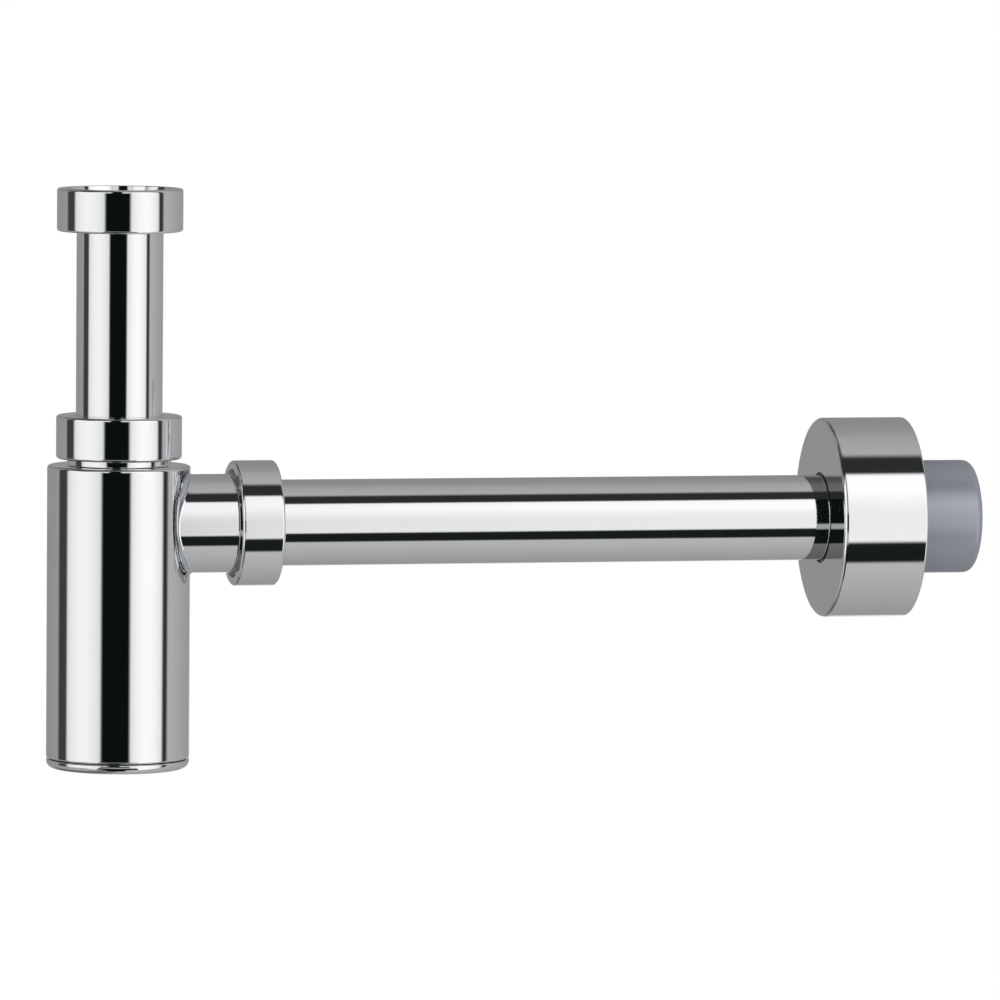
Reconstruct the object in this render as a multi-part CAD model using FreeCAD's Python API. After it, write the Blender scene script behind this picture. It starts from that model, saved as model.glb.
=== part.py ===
import FreeCAD, Part
import math
import os

from FreeCAD import Vector

# Bottle trap of chromed brass. All sizes are in millimetres.
# The origin is the centre of the inlet washer's upper face, where the basin waste seals.
# +Z points up along the inlet pipe and +X along the outlet pipe, towards the wall.

# Both pipes
PIPE_OUTER = 32.0
PIPE_WALL = 1.0

# The three round nuts, all with the same inch and a quarter pipe thread, 38.952 across its crests
THREAD_ROOM = 3.476
THREAD_CHAMFER = 0.5
THREAD_RELIEF_DEPTH = 0.8
NUT_WALL = 3.774
NUT_HEIGHT = 16.0
NUT_LIP = 2.6
NUT_EDGE = 1.0

# Inlet: the pipe's rolled collar, the flat washer on it and the pipe's two ends
COLLAR_THICKNESS = 2.0
WASHER_THICKNESS = 2.5
INLET_DROP = 115.2
DIP_DEPTH = 66.0

# Compression joints at the neck and at the side stub
RING_THICKNESS = 1.5
SEAL_HEIGHT = 8.0
SEAL_PROUD = 1.8
SEAL_FOOT_WALL = 0.85
SOCKET_RIM_WALL = 1.0

# Bottle
BOTTLE_OUTER = 53.0
BOTTLE_WALL = 1.8
BOTTLE_TOP_WALL = 2.5
BOTTLE_SHOULDER_EDGE = 1.2
SHOULDER_OVER_STUB = 3.7
NECK_SHOWING = 2.4
BOTTLE_DEPTH = 90.2
STUB_STEP = 0.926
STUB_ROOT_FILLET = 0.8
STUB_THREAD_INSET = 1.5
OUTLET_NUT_FROM_AXIS = 42.4

# Cleaning cap, its thread and the O-ring in its groove
CAP_RIM = 3.6
CAP_EDGE = 3.2
CAP_FLOOR = 3.0
CAP_THREAD_HEIGHT = 6.0
CAP_THREAD_DEPTH = 0.8
CAP_BORE_WALL = 1.5
CAP_LAND = 0.8
CAP_GROOVE_WALL = 1.5
O_RING_CORD = 2.4
COIN_SLOT_LENGTH = 30.0
COIN_SLOT_WIDTH = 3.0
COIN_SLOT_DEPTH = 1.5
SEAM_GAP = 0.25

# Outlet pipe, wall flange and rubber sleeve
OUTLET_PIPE_LENGTH = 287.0
PIPE_INSERTION = 18.5
FLANGE_OUTER = 75.0
FLANGE_DEPTH = 32.2
FLANGE_WALL = 1.2
FLANGE_EDGE = 1.5
FLANGE_COLLAR = 5.0
SLEEVE_WALL = 5.15
SLEEVE_LENGTH = 38.0
SLEEVE_SHOWING = 26.15
SLEEVE_EDGE = 3.0
SLEEVE_RIM_HEIGHT = 1.8
SLEEVE_RIM_LENGTH = 4.0
SLEEVE_LIP = 4.5

# Clearances, on the radius or along the axis
SLIDE_GAP = 0.3
SEAL_GAP = 0.15
THREAD_GAP = 0.25
FIT_GAP = 0.05
GROOVE_GAP = 0.15

# Values that the pieces share
pipe_r = PIPE_OUTER / 2
pipe_bore_r = pipe_r - PIPE_WALL
slide_r = pipe_r + SLIDE_GAP
thread_r = pipe_r + THREAD_ROOM
thread_core_r = thread_r - THREAD_GAP
collar_r = thread_r - SLIDE_GAP
stub_r = thread_core_r - STUB_STEP
bottle_r = BOTTLE_OUTER / 2
inner_r = bottle_r - BOTTLE_WALL
outlet_z = -INLET_DROP
relief_length = COLLAR_THICKNESS + WASHER_THICKNESS

# Heights in a compression joint, counted along its pipe from the nut's mouth
ring_seat = NUT_HEIGHT - NUT_LIP
seal_top = ring_seat - RING_THICKNESS
socket_rim = seal_top - SEAL_PROUD
seal_foot = seal_top - SEAL_HEIGHT
seal_top_r = thread_core_r - SOCKET_RIM_WALL - FIT_GAP
seal_foot_r = pipe_r + SEAL_GAP + SEAL_FOOT_WALL

# Places of the joints and of the bottle's ends
shoulder_z = outlet_z + stub_r + SHOULDER_OVER_STUB
neck_mouth_z = shoulder_z + NECK_SHOWING
cap_z = outlet_z - BOTTLE_DEPTH
bottle_end_z = cap_z + CAP_RIM + SEAM_GAP
cap_bore_r = bottle_r - CAP_BORE_WALL
stub_rim_x = OUTLET_NUT_FROM_AXIS + socket_rim
outlet_start_x = stub_rim_x - PIPE_INSERTION
outlet_end_x = outlet_start_x + OUTLET_PIPE_LENGTH
sleeve_end_x = outlet_end_x + FIT_GAP + SLEEVE_LIP
flange_x = sleeve_end_x - SLEEVE_SHOWING - FLANGE_DEPTH

# Heights in the cleaning cap, counted from its underside
groove_width = O_RING_CORD + 2 * GROOVE_GAP
groove_low = CAP_RIM + CAP_LAND
groove_high = groove_low + groove_width
thread_low = groove_high + CAP_LAND
skirt_top = thread_low + CAP_THREAD_HEIGHT
ring_center_r = cap_bore_r - FIT_GAP - O_RING_CORD / 2
groove_floor_r = ring_center_r - O_RING_CORD / 2 - FIT_GAP
cup_r = groove_floor_r - CAP_GROOVE_WALL


def rounded_edges(corners):
    """Lines and tangent arcs through closed corners of (radius, height) or (radius, height, rounding)."""
    points = [Vector(c[0], 0, c[1]) for c in corners]
    count = len(points)
    ends = []
    arcs = []
    for i, corner in enumerate(corners):
        here = points[i]
        rounding = corner[2] if len(corner) > 2 else 0
        if rounding == 0:
            ends.append((here, here))
            continue
        back = points[i - 1] - here
        ahead = points[(i + 1) % count] - here
        half = back.getAngle(ahead) / 2
        reach = min(rounding / math.tan(half), 0.48 * back.Length, 0.48 * ahead.Length)
        radius = reach * math.tan(half)
        back.normalize()
        ahead.normalize()
        inward = back + ahead
        inward.normalize()
        start = here + back * reach
        end = here + ahead * reach
        middle = here + inward * (radius / math.sin(half) - radius)
        arcs.append(Part.Arc(start, middle, end).toShape())
        ends.append((start, end))
    lines = []
    for i in range(count):
        start = ends[i - 1][1]
        end = ends[i][0]
        lines.append(Part.LineSegment(start, end).toShape())
    return lines + arcs


def turned(corners):
    """Solid turned about Z from the corners of its closed half section."""
    wire = Part.Wire(Part.__sortEdges__(rounded_edges(corners)))
    return Part.Face(wire).revolve(Vector(0, 0, 0), Vector(0, 0, 1), 360)


def raised(solid, z):
    """The solid moved up the inlet axis."""
    solid.translate(Vector(0, 0, z))
    return solid


def on_outlet(solid, x):
    """A solid turned about Z, laid along the outlet axis with its height counted from x."""
    solid.rotate(Vector(0, 0, 0), Vector(0, 1, 0), 90)
    solid.translate(Vector(x, 0, outlet_z))
    return solid


def nut():
    """Round nut with its threaded mouth at height 0, a relief behind the thread and a lip round the pipe."""
    nut_r = thread_r + NUT_WALL
    relief_r = thread_r + THREAD_RELIEF_DEPTH
    relief_start = ring_seat - relief_length
    return turned([
        (thread_r + THREAD_CHAMFER, 0),
        (nut_r, 0, NUT_EDGE),
        (nut_r, NUT_HEIGHT, NUT_EDGE),
        (slide_r, NUT_HEIGHT),
        (slide_r, ring_seat),
        (relief_r, ring_seat),
        (relief_r, relief_start),
        (thread_r, relief_start),
        (thread_r, THREAD_CHAMFER),
    ])


def inlet_nut():
    """Union nut with its mouth up, its lip under the pipe's collar."""
    solid = nut()
    solid.rotate(Vector(0, 0, 0), Vector(1, 0, 0), 180)
    return raised(solid, ring_seat - relief_length)


def inlet_washer():
    """Flat rubber washer on the pipe's collar."""
    return turned([
        (pipe_bore_r, -WASHER_THICKNESS),
        (collar_r, -WASHER_THICKNESS),
        (collar_r, 0),
        (pipe_bore_r, 0),
    ])


def inlet_pipe():
    """Tube with a rolled collar at its upper end, which hangs down into the bottle as its dip tube."""
    foot = outlet_z - DIP_DEPTH
    top = -WASHER_THICKNESS
    collar_under = top - COLLAR_THICKNESS
    return turned([
        (pipe_bore_r, foot),
        (pipe_r, foot),
        (pipe_r, collar_under),
        (collar_r, collar_under),
        (collar_r, top),
        (pipe_bore_r, top),
    ])


def slip_ring():
    """Flat plastic ring under the nut's lip, which keeps the nut from twisting the seal."""
    return turned([
        (slide_r, seal_top),
        (collar_r, seal_top),
        (collar_r, ring_seat),
        (slide_r, ring_seat),
    ])


def cone_seal():
    """Conical rubber ring round the pipe, proud of the socket that it is pressed into."""
    return turned([
        (pipe_r + SEAL_GAP, seal_foot),
        (seal_foot_r, seal_foot),
        (seal_top_r, socket_rim),
        (seal_top_r, seal_top),
        (pipe_r + SEAL_GAP, seal_top),
    ])


def socket_space(bore_start):
    """Room in a socket for the pipe and, at its rim, for the conical seal."""
    return turned([
        (0, bore_start),
        (slide_r, bore_start),
        (slide_r, seal_foot),
        (seal_foot_r + FIT_GAP, seal_foot),
        (seal_top_r + FIT_GAP, socket_rim),
        (0, socket_rim),
    ])


def bottle_outside():
    """Cylinder with a neck on top, joined by a small fillet to the side stub with its raised thread."""
    bottle = turned([
        (0, bottle_end_z),
        (bottle_r, bottle_end_z),
        (bottle_r, shoulder_z, BOTTLE_SHOULDER_EDGE),
        (thread_core_r, shoulder_z),
        (thread_core_r, neck_mouth_z + socket_rim),
        (0, neck_mouth_z + socket_rim),
    ])
    thread_x = OUTLET_NUT_FROM_AXIS + STUB_THREAD_INSET
    stub = turned([
        (0, 0),
        (stub_r, 0),
        (stub_r, thread_x),
        (thread_core_r, thread_x),
        (thread_core_r, stub_rim_x),
        (0, stub_rim_x),
    ])
    whole = bottle.fuse(on_outlet(stub, 0))
    return whole.makeFillet(STUB_ROOT_FILLET, stub_root_edges(whole))


def stub_root_edges(whole):
    """The edges in which the stub meets the bottle's wall."""
    found = []
    for edge in whole.Edges:
        middle = edge.valueAt((edge.FirstParameter + edge.LastParameter) / 2)
        off_inlet = math.hypot(middle.x, middle.y)
        off_outlet = math.hypot(middle.y, middle.z - outlet_z)
        on_bottle = abs(off_inlet - bottle_r) < FIT_GAP
        on_stub = abs(off_outlet - stub_r) < FIT_GAP
        if on_bottle and on_stub and middle.x > 0:
            found.append(edge)
    return found


def bottle_body():
    """Thin walled bottle with an open bottom bored for the cap, a neck and a side stub."""
    ceiling = shoulder_z - BOTTLE_TOP_WALL
    cap_bore_top = cap_z + skirt_top + SLIDE_GAP
    chamber = turned([
        (0, bottle_end_z),
        (cap_bore_r, bottle_end_z),
        (cap_bore_r, cap_bore_top),
        (inner_r, cap_bore_top),
        (inner_r, ceiling),
        (0, ceiling),
    ])
    neck_space = raised(socket_space(ceiling - neck_mouth_z), neck_mouth_z)
    stub_space = on_outlet(socket_space(bottle_r - OUTLET_NUT_FROM_AXIS), OUTLET_NUT_FROM_AXIS)
    waterway = on_outlet(Part.makeCylinder(pipe_bore_r, bottle_r), 0)
    return bottle_outside().cut([chamber, neck_space, stub_space, waterway]).Solids[0]


def bottom_cap():
    """Cup that screws into the bottle, with a rounded rim, an O-ring groove and a coin slot underneath."""
    land_r = cap_bore_r - SLIDE_GAP
    skirt_r = cap_bore_r - CAP_THREAD_DEPTH
    cup = turned([
        (0, 0),
        (bottle_r, 0, CAP_EDGE),
        (bottle_r, CAP_RIM),
        (land_r, CAP_RIM),
        (land_r, groove_low),
        (groove_floor_r, groove_low),
        (groove_floor_r, groove_high),
        (land_r, groove_high),
        (land_r, thread_low),
        (skirt_r, thread_low),
        (skirt_r, skirt_top),
        (cup_r, skirt_top),
        (cup_r, CAP_FLOOR),
        (0, CAP_FLOOR),
    ])
    half_run = (COIN_SLOT_LENGTH - COIN_SLOT_WIDTH) / 2
    half_width = COIN_SLOT_WIDTH / 2
    slot = Part.makeBox(2 * half_run, COIN_SLOT_WIDTH, COIN_SLOT_DEPTH, Vector(-half_run, -half_width, 0))
    for x in (-half_run, half_run):
        slot = slot.fuse(Part.makeCylinder(half_width, COIN_SLOT_DEPTH, Vector(x, 0, 0)))
    return raised(cup.cut(slot.removeSplitter()).Solids[0], cap_z)


def cap_seal():
    """O-ring in the cap's groove, against the bottle's bore."""
    ring = Part.makeTorus(ring_center_r, O_RING_CORD / 2)
    return raised(ring, cap_z + (groove_low + groove_high) / 2)


def outlet_pipe():
    """Plain tube from the stub's socket to the wall."""
    tube = turned([
        (pipe_bore_r, 0),
        (pipe_r, 0),
        (pipe_r, OUTLET_PIPE_LENGTH),
        (pipe_bore_r, OUTLET_PIPE_LENGTH),
    ])
    return on_outlet(tube, outlet_start_x)


def wall_flange():
    """Deep drawn cup, open to the wall, with a collar drawn inwards round the pipe."""
    flange_r = FLANGE_OUTER / 2
    cup = turned([
        (slide_r, 0, FLANGE_WALL),
        (flange_r, 0, FLANGE_EDGE),
        (flange_r, FLANGE_DEPTH),
        (flange_r - FLANGE_WALL, FLANGE_DEPTH),
        (flange_r - FLANGE_WALL, FLANGE_WALL),
        (slide_r + FLANGE_WALL, FLANGE_WALL),
        (slide_r + FLANGE_WALL, FLANGE_COLLAR),
        (slide_r, FLANGE_COLLAR),
    ])
    return on_outlet(cup, flange_x)


def wall_sleeve():
    """Rubber sleeve on the pipe's end, with a stop rim at the near end and a rounded lip past the pipe."""
    bore_r = pipe_r + FIT_GAP
    sleeve_r = bore_r + SLEEVE_WALL
    rim_r = sleeve_r + SLEEVE_RIM_HEIGHT
    lip_start = SLEEVE_LENGTH - SLEEVE_LIP
    sleeve = turned([
        (bore_r, 0),
        (rim_r, 0),
        (rim_r, SLEEVE_RIM_LENGTH),
        (sleeve_r, SLEEVE_RIM_LENGTH),
        (sleeve_r, SLEEVE_LENGTH, SLEEVE_EDGE),
        (pipe_bore_r, SLEEVE_LENGTH),
        (pipe_bore_r, lip_start),
        (bore_r, lip_start),
    ])
    return on_outlet(sleeve, sleeve_end_x - SLEEVE_LENGTH)


pieces = {
    "inlet_nut": inlet_nut(),
    "inlet_washer": inlet_washer(),
    "inlet_pipe": inlet_pipe(),
    "neck_nut": raised(nut(), neck_mouth_z),
    "neck_slip_ring": raised(slip_ring(), neck_mouth_z),
    "neck_seal": raised(cone_seal(), neck_mouth_z),
    "bottle_body": bottle_body(),
    "bottom_cap": bottom_cap(),
    "cap_seal": cap_seal(),
    "outlet_nut": on_outlet(nut(), OUTLET_NUT_FROM_AXIS),
    "outlet_slip_ring": on_outlet(slip_ring(), OUTLET_NUT_FROM_AXIS),
    "outlet_seal": on_outlet(cone_seal(), OUTLET_NUT_FROM_AXIS),
    "outlet_pipe": outlet_pipe(),
    "wall_flange": wall_flange(),
    "wall_sleeve": wall_sleeve(),
}

os.makedirs("parts", exist_ok=True)
for name, solid in pieces.items():
    solid.exportStep("parts/" + name + ".step")
    print(name, solid.ShapeType, len(solid.Solids), solid.isValid(), round(solid.Volume, 1))
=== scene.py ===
import math

import bpy
import numpy as np
from mathutils import Matrix, Vector


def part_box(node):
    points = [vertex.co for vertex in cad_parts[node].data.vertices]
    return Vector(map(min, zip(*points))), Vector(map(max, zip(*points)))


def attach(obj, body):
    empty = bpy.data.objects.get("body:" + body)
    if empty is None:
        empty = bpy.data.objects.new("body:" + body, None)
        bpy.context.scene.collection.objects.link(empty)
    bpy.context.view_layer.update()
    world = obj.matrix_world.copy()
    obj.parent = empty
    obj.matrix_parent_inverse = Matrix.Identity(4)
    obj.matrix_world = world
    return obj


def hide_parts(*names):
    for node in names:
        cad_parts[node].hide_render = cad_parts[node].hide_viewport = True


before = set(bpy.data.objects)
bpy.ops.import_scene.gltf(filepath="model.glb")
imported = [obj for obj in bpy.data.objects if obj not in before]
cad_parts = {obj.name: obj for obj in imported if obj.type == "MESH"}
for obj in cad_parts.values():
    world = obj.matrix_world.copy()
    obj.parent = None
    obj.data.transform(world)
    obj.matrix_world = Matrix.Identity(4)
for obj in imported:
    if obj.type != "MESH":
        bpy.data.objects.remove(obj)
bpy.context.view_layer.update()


# Union nut: a round brass nut, turned from bar, threaded inside for the basin waste and chromed.
# Its lip holds the inlet pipe's collar and washer up against the waste.
THREAD_PITCH = 0.002309
THREAD_CREST_R = 0.019476
THREAD_DEPTH = 0.00147
THREAD_RELIEF = 0.0008
THREAD_FADE = 0.0011
NUT_LIP = 0.0026
NUT_EDGE = 0.0011
CLAMP_LEAD = (0.0006, 0.0022)
UNION_LEAD = (0.0009, 0.0030)
FINE_EDGE = 0.00025
EASED_EDGE = 0.0004
SLIDE_R = 0.0163
COLLAR_STACK = 0.0045
COLUMNS = 224
ARC_STEPS = 7
NUT_THREAD_ROWS = 52
SAME_RADIUS = 1e-7

nut_low, nut_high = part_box("neck_nut")
nut_r = nut_high.x
nut_height = nut_high.z - nut_low.z
ring_seat = nut_height - NUT_LIP
relief_start = ring_seat - COLLAR_STACK

# An axis is three unit vectors, of which the last points along it, and an origin
UPRIGHT = (np.eye(3), np.zeros(3))


def rounded_section(corners, sides=None, closed=True):
    """Half section of a turned piece, anticlockwise, from corners of (radius, height, rounding, rawness).

    Each corner is an arc tangent to its two sides. The arc's normal turns evenly from one side's normal to
    the next one's, and its points lie one rounding along that normal from a centre, which is set back from
    the corner along the sum of the two normals. sides gives more heights on a side along the axis, by the
    number of the corner before it. An open section leaves out the arcs of its first and last corner.
    """
    corner = np.array(corners, float)
    point = corner[:, :2]
    run = np.roll(point, -1, 0) - point
    run /= np.linalg.norm(run, axis=1, keepdims=True)
    after = np.stack([run[:, 1], -run[:, 0]], 1)
    before = np.roll(after, 1, 0)
    along = np.sum(before * after, 1)
    turn = np.arctan2(before[:, 0] * after[:, 1] - before[:, 1] * after[:, 0], along)
    rounding = (corner[:, 2] * np.sign(turn))[:, None]
    centre = point - rounding * (before + after) / (1 + along)[:, None]
    share = np.linspace(0, 1, ARC_STEPS)
    angle = np.arctan2(before[:, 1], before[:, 0])[:, None] + turn[:, None] * share
    normal = np.stack([np.cos(angle), np.sin(angle)], 2)
    arc = centre[:, None] + rounding[:, None] * normal
    rows = []
    for number in range(len(corner)) if closed else range(1, len(corner) - 1):
        raw = np.full((ARC_STEPS, 1), corner[number, 3])
        rows.append(np.hstack([arc[number], normal[number], raw]))
        if sides and number in sides:
            height = np.asarray(sides[number])[:, None]
            flat = np.broadcast_to([*after[number], corner[number, 3]], (len(height), 3))
            radius = np.full_like(height, arc[number, -1, 0])
            rows.append(np.hstack([radius, height, flat]))
    return np.vstack(rows)


def turned_grid(section, angle, axis, thread=None):
    """Points and normals of a section turned about an axis, as (row, column, xyz) grids.

    A point is radius times the spoke at its angle plus its height along the axis. A thread adds to the
    radius its depth times half of one minus the cosine of (height over pitch minus turns) in full turns,
    faded out at both ends of its length, so a turn of the piece by one pitch brings it back on itself.
    """
    basis, origin = axis
    radius, height, across, along = (section[:, k, None] for k in range(4))
    spoke = np.cos(angle)[:, None] * basis[0] + np.sin(angle)[:, None] * basis[1]
    tangent = np.cos(angle)[:, None] * basis[1] - np.sin(angle)[:, None] * basis[0]
    rise = np.zeros((len(section), len(angle)))
    slope = rise.copy()
    twist = rise.copy()
    if thread:
        seat_r, low, high, pitch, depth = thread
        inside = (np.abs(radius - seat_r) < SAME_RADIUS) & (height > low) & (height < high)
        fade = np.clip(np.minimum(height - low, high - height) / THREAD_FADE, 0, 1) * inside
        phase = math.tau * height / pitch - angle
        rise = depth * fade * (0.5 - 0.5 * np.cos(phase))
        slope = depth * fade * 0.5 * np.sin(phase) * math.tau / pitch
        twist = -depth * fade * 0.5 * np.sin(phase) / radius
    point = origin + (radius + rise)[..., None] * spoke + height[..., None] * basis[2]
    normal = across[..., None] * (spoke - slope[..., None] * basis[2] - twist[..., None] * tangent)
    normal = normal + along[..., None] * basis[2]
    return point, normal / np.linalg.norm(normal, axis=2, keepdims=True)


def even_angles(count):
    """Angles of a number of columns, spaced evenly round a full turn from zero."""
    return np.arange(count) * math.tau / count


def vertex_numbers(grid, first=0):
    """Numbers of a grid's points, row by row from the first."""
    rows, columns = grid.shape[:2]
    return first + np.arange(rows * columns).reshape(rows, columns)


def grid_faces(index, closed_rows):
    """Four corners of each cell of a grid of vertex numbers, with its last column joined to its first.

    Closed rows join its last row to its first as well.
    """
    if closed_rows:
        index = np.vstack([index, index[:1]])
    index = np.hstack([index, index[:, :1]])
    cells = [index[:-1, :-1], index[:-1, 1:], index[1:, 1:], index[1:, :-1]]
    return np.stack(cells, 2).reshape(-1, 4)


def piece_from(name, point, normal, raw, faces, body, material):
    """A piece of the trap: its mesh with exact normals and rawness, its finish, and the body it rides on."""
    mesh = bpy.data.meshes.new(name)
    mesh.from_pydata(point, [], faces, shade_flat=False)
    mesh.normals_split_custom_set_from_vertices(normal)
    rawness = mesh.attributes.new("raw", "FLOAT", "POINT")
    rawness.data.foreach_set("value", np.ascontiguousarray(raw, np.float32))
    mesh.materials.append(material)
    piece = bpy.data.objects.new(name, mesh)
    bpy.context.scene.collection.objects.link(piece)
    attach(piece, body)
    return piece


def turned_piece(name, node, corners, axis, body, material, sides=None, thread=None):
    """A ring turned from a closed section, which stands for a CAD node."""
    section = rounded_section(corners, sides)
    point, normal = turned_grid(section, even_angles(COLUMNS), axis, thread)
    raw = np.repeat(section[:, 4], COLUMNS)
    faces = grid_faces(vertex_numbers(point), closed_rows=True)
    piece = piece_from(name, point.reshape(-1, 3), normal.reshape(-1, 3), raw, faces, body, material)
    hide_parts(node)
    return piece


class Value:
    """A socket of a node tree. Sums, differences and products of values add Math nodes."""

    def __init__(self, tree, socket=None):
        self.tree = tree
        self.socket = socket

    def make(self, kind, settings, inputs, output=0):
        """Adds a node, makes its settings, fills its sockets with values or links, and gives one output."""
        node = self.tree.nodes.new(kind)
        for name, setting in settings.items():
            setattr(node, name, setting)
        for name, value in inputs.items():
            if isinstance(value, Value):
                self.tree.links.new(value.socket, node.inputs[name])
            else:
                node.inputs[name].default_value = value
        return Value(self.tree, node.outputs[output] if node.outputs else None)

    def math(self, operation, first, second):
        return self.make("ShaderNodeMath", {"operation": operation}, {0: first, 1: second})

    def __add__(self, other):
        return self.math("ADD", self, other)

    def __radd__(self, other):
        return self.math("ADD", other, self)

    def __sub__(self, other):
        return self.math("SUBTRACT", self, other)

    def __rsub__(self, other):
        return self.math("SUBTRACT", other, self)

    def __mul__(self, other):
        return self.math("MULTIPLY", self, other)

    def __rmul__(self, other):
        return self.math("MULTIPLY", other, self)

    def noise(self, scale, detail):
        """Soft random value from 0 to 1 on the piece, with grains of about one over the scale, in metres."""
        place = self.make("ShaderNodeTexCoord", {}, {}, "Object")
        inputs = {"Vector": place, "Scale": scale, "Detail": detail}
        return self.make("ShaderNodeTexNoise", {}, inputs, "Fac")

    def mix_colours(self, share, first, second):
        """First colour at share 0, second at share 1, and on in a straight line past them."""
        settings = {"data_type": "RGBA", "clamp_factor": False}
        factor_socket, first_colour, second_colour, colour_output = 0, 6, 7, 2
        inputs = {factor_socket: share, first_colour: first, second_colour: second}
        return self.make("ShaderNodeMix", settings, inputs, colour_output)


def new_material(name):
    """An empty node material and its first value, from which its other nodes are made."""
    material = bpy.data.materials.new(name)
    material.use_nodes = True
    material.node_tree.nodes.clear()
    return material, Value(material.node_tree)


def finish_material(start, inputs):
    """Ends a material in one Principled shader."""
    shader = start.make("ShaderNodeBsdfPrincipled", {}, inputs)
    start.make("ShaderNodeOutputMaterial", {}, {"Surface": shader})


def polished_chrome():
    """Chrome on polished brass, faintly smeared by handling, and bare dull brass where nothing is plated."""
    plated = (0.80, 0.81, 0.82, 1)
    smeared = (0.765, 0.775, 0.79, 1)
    bare = (0.44, 0.33, 0.17, 1)
    tarnished = (0.30, 0.22, 0.12, 1)
    material, start = new_material("polished_chrome")
    raw = start.make("ShaderNodeAttribute", {"attribute_name": "raw"}, {}, "Fac")
    smear = start.noise(scale=55, detail=3)
    grain = start.noise(scale=900, detail=2)
    plating = start.mix_colours(smear, plated, smeared)
    brass = start.mix_colours(grain, bare, tarnished)
    colour = start.mix_colours(raw, plating, brass)
    polish = 0.042 + smear * 0.014
    dull = 0.27 + grain * 0.22
    roughness = polish * (1 - raw) + dull * raw
    bump = start.make("ShaderNodeBump", {}, {"Height": grain * raw, "Strength": 0.25, "Distance": 0.00002})
    finish_material(start, {"Base Color": colour, "Metallic": 1.0, "Roughness": roughness, "Normal": bump})
    return material


def nut_corners(mouth, direction, lead):
    """Closed section of a nut with its mouth at a height and its lip one nut height along the direction.

    The lead is the countersink at its mouth: how much wider than the thread's crest it is, and how deep.
    """
    lead_rise, lead_depth = lead
    relief_r = THREAD_CREST_R + THREAD_RELIEF
    corners = [
        (THREAD_CREST_R + lead_rise, 0, FINE_EDGE, 0),
        (nut_r, 0, NUT_EDGE, 0),
        (nut_r, nut_height, NUT_EDGE, 0),
        (SLIDE_R, nut_height, EASED_EDGE, 0),
        (SLIDE_R, ring_seat, FINE_EDGE, 0.6),
        (relief_r, ring_seat, FINE_EDGE, 0.6),
        (relief_r, relief_start, FINE_EDGE, 0.4),
        (THREAD_CREST_R, relief_start, FINE_EDGE, 0.2),
        (THREAD_CREST_R, lead_depth, FINE_EDGE, 0),
    ]
    placed = [(r, mouth + direction * t, rounding, raw) for r, t, rounding, raw in corners]
    return placed if direction > 0 else placed[::-1]


def nut_thread(mouth, direction, lead):
    """A nut's thread: its rows by the number of the corner before them, and what it is cut into.

    Its side of the section is the last but one, or the first where the corners are reversed.
    """
    outer_end = mouth + direction * (lead[1] + FINE_EDGE)
    inner_end = mouth + direction * (relief_start - FINE_EDGE)
    ends = sorted((outer_end, inner_end))
    rows = np.linspace(*ends, NUT_THREAD_ROWS)
    corner_before = 7 if direction > 0 else 0
    down = rows[::-1] if direction > 0 else rows
    return {corner_before: down}, (THREAD_CREST_R, *ends, THREAD_PITCH, THREAD_DEPTH)


def threaded_nut(name, node, mouth, direction, lead, axis, body):
    """A chromed nut with its thread, its mouth at a height and its lip one nut height along the direction."""
    sides, thread = nut_thread(mouth, direction, lead)
    corners = nut_corners(mouth, direction, lead)
    turned_piece(name, node, corners, axis, body, chrome, sides, thread)


chrome = polished_chrome()
inlet_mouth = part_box("inlet_nut")[1].z
threaded_nut("union_nut", "inlet_nut", inlet_mouth, -1, UNION_LEAD, UPRIGHT, "inlet")


# Flat black rubber washer on the pipe's collar, which seals against the end of the basin waste.
# It is punched from sheet and lies loose inside the union nut.
WASHER_EDGE = 0.0003
PIPE_BORE_R = 0.015


def black_rubber():
    """Matt black rubber, a little dusty, with the fine grain of its mould."""
    fresh = (0.018, 0.018, 0.019, 1)
    dusty = (0.042, 0.042, 0.044, 1)
    material, start = new_material("seal_rubber")
    dust = start.noise(scale=240, detail=4)
    grain = start.noise(scale=2600, detail=2)
    colour = start.mix_colours(dust, fresh, dusty)
    bump = start.make("ShaderNodeBump", {}, {"Height": grain, "Strength": 0.25, "Distance": 0.00003})
    roughness = 0.5 + dust * 0.18
    finish_material(start, {"Base Color": colour, "Roughness": roughness, "Normal": bump})
    return material


rubber = black_rubber()
washer_low, washer_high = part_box("inlet_washer")
washer = [
    (PIPE_BORE_R, washer_low.z, WASHER_EDGE, 0),
    (washer_high.x, washer_low.z, WASHER_EDGE, 0),
    (washer_high.x, washer_high.z, WASHER_EDGE, 0),
    (PIPE_BORE_R, washer_high.z, WASHER_EDGE, 0),
]
turned_piece("waste_washer", "inlet_washer", washer, UPRIGHT, "inlet", rubber)


# Inlet pipe: drawn brass tube with a collar rolled out at its upper end, chromed outside only.
# It hangs from the union nut and runs on down into the bottle as the dip tube.
PIPE_R = 0.016
COLLAR_THICKNESS = 0.002
COLLAR_EDGE = 0.0005
COLLAR_MOUTH = 0.0006
CRISP_EDGE = 0.0002

pipe_low, pipe_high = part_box("inlet_pipe")
collar_under = pipe_high.z - COLLAR_THICKNESS
inlet_tube = [
    (PIPE_BORE_R, pipe_low.z, FINE_EDGE, 1),
    (PIPE_R, pipe_low.z, FINE_EDGE, 0),
    (PIPE_R, collar_under, CRISP_EDGE, 0),
    (pipe_high.x, collar_under, COLLAR_EDGE, 0),
    (pipe_high.x, pipe_high.z, COLLAR_EDGE, 0.3),
    (PIPE_BORE_R, pipe_high.z, COLLAR_MOUTH, 1),
]
turned_piece("dip_pipe", "inlet_pipe", inlet_tube, UPRIGHT, "dip_pipe", chrome)


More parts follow.
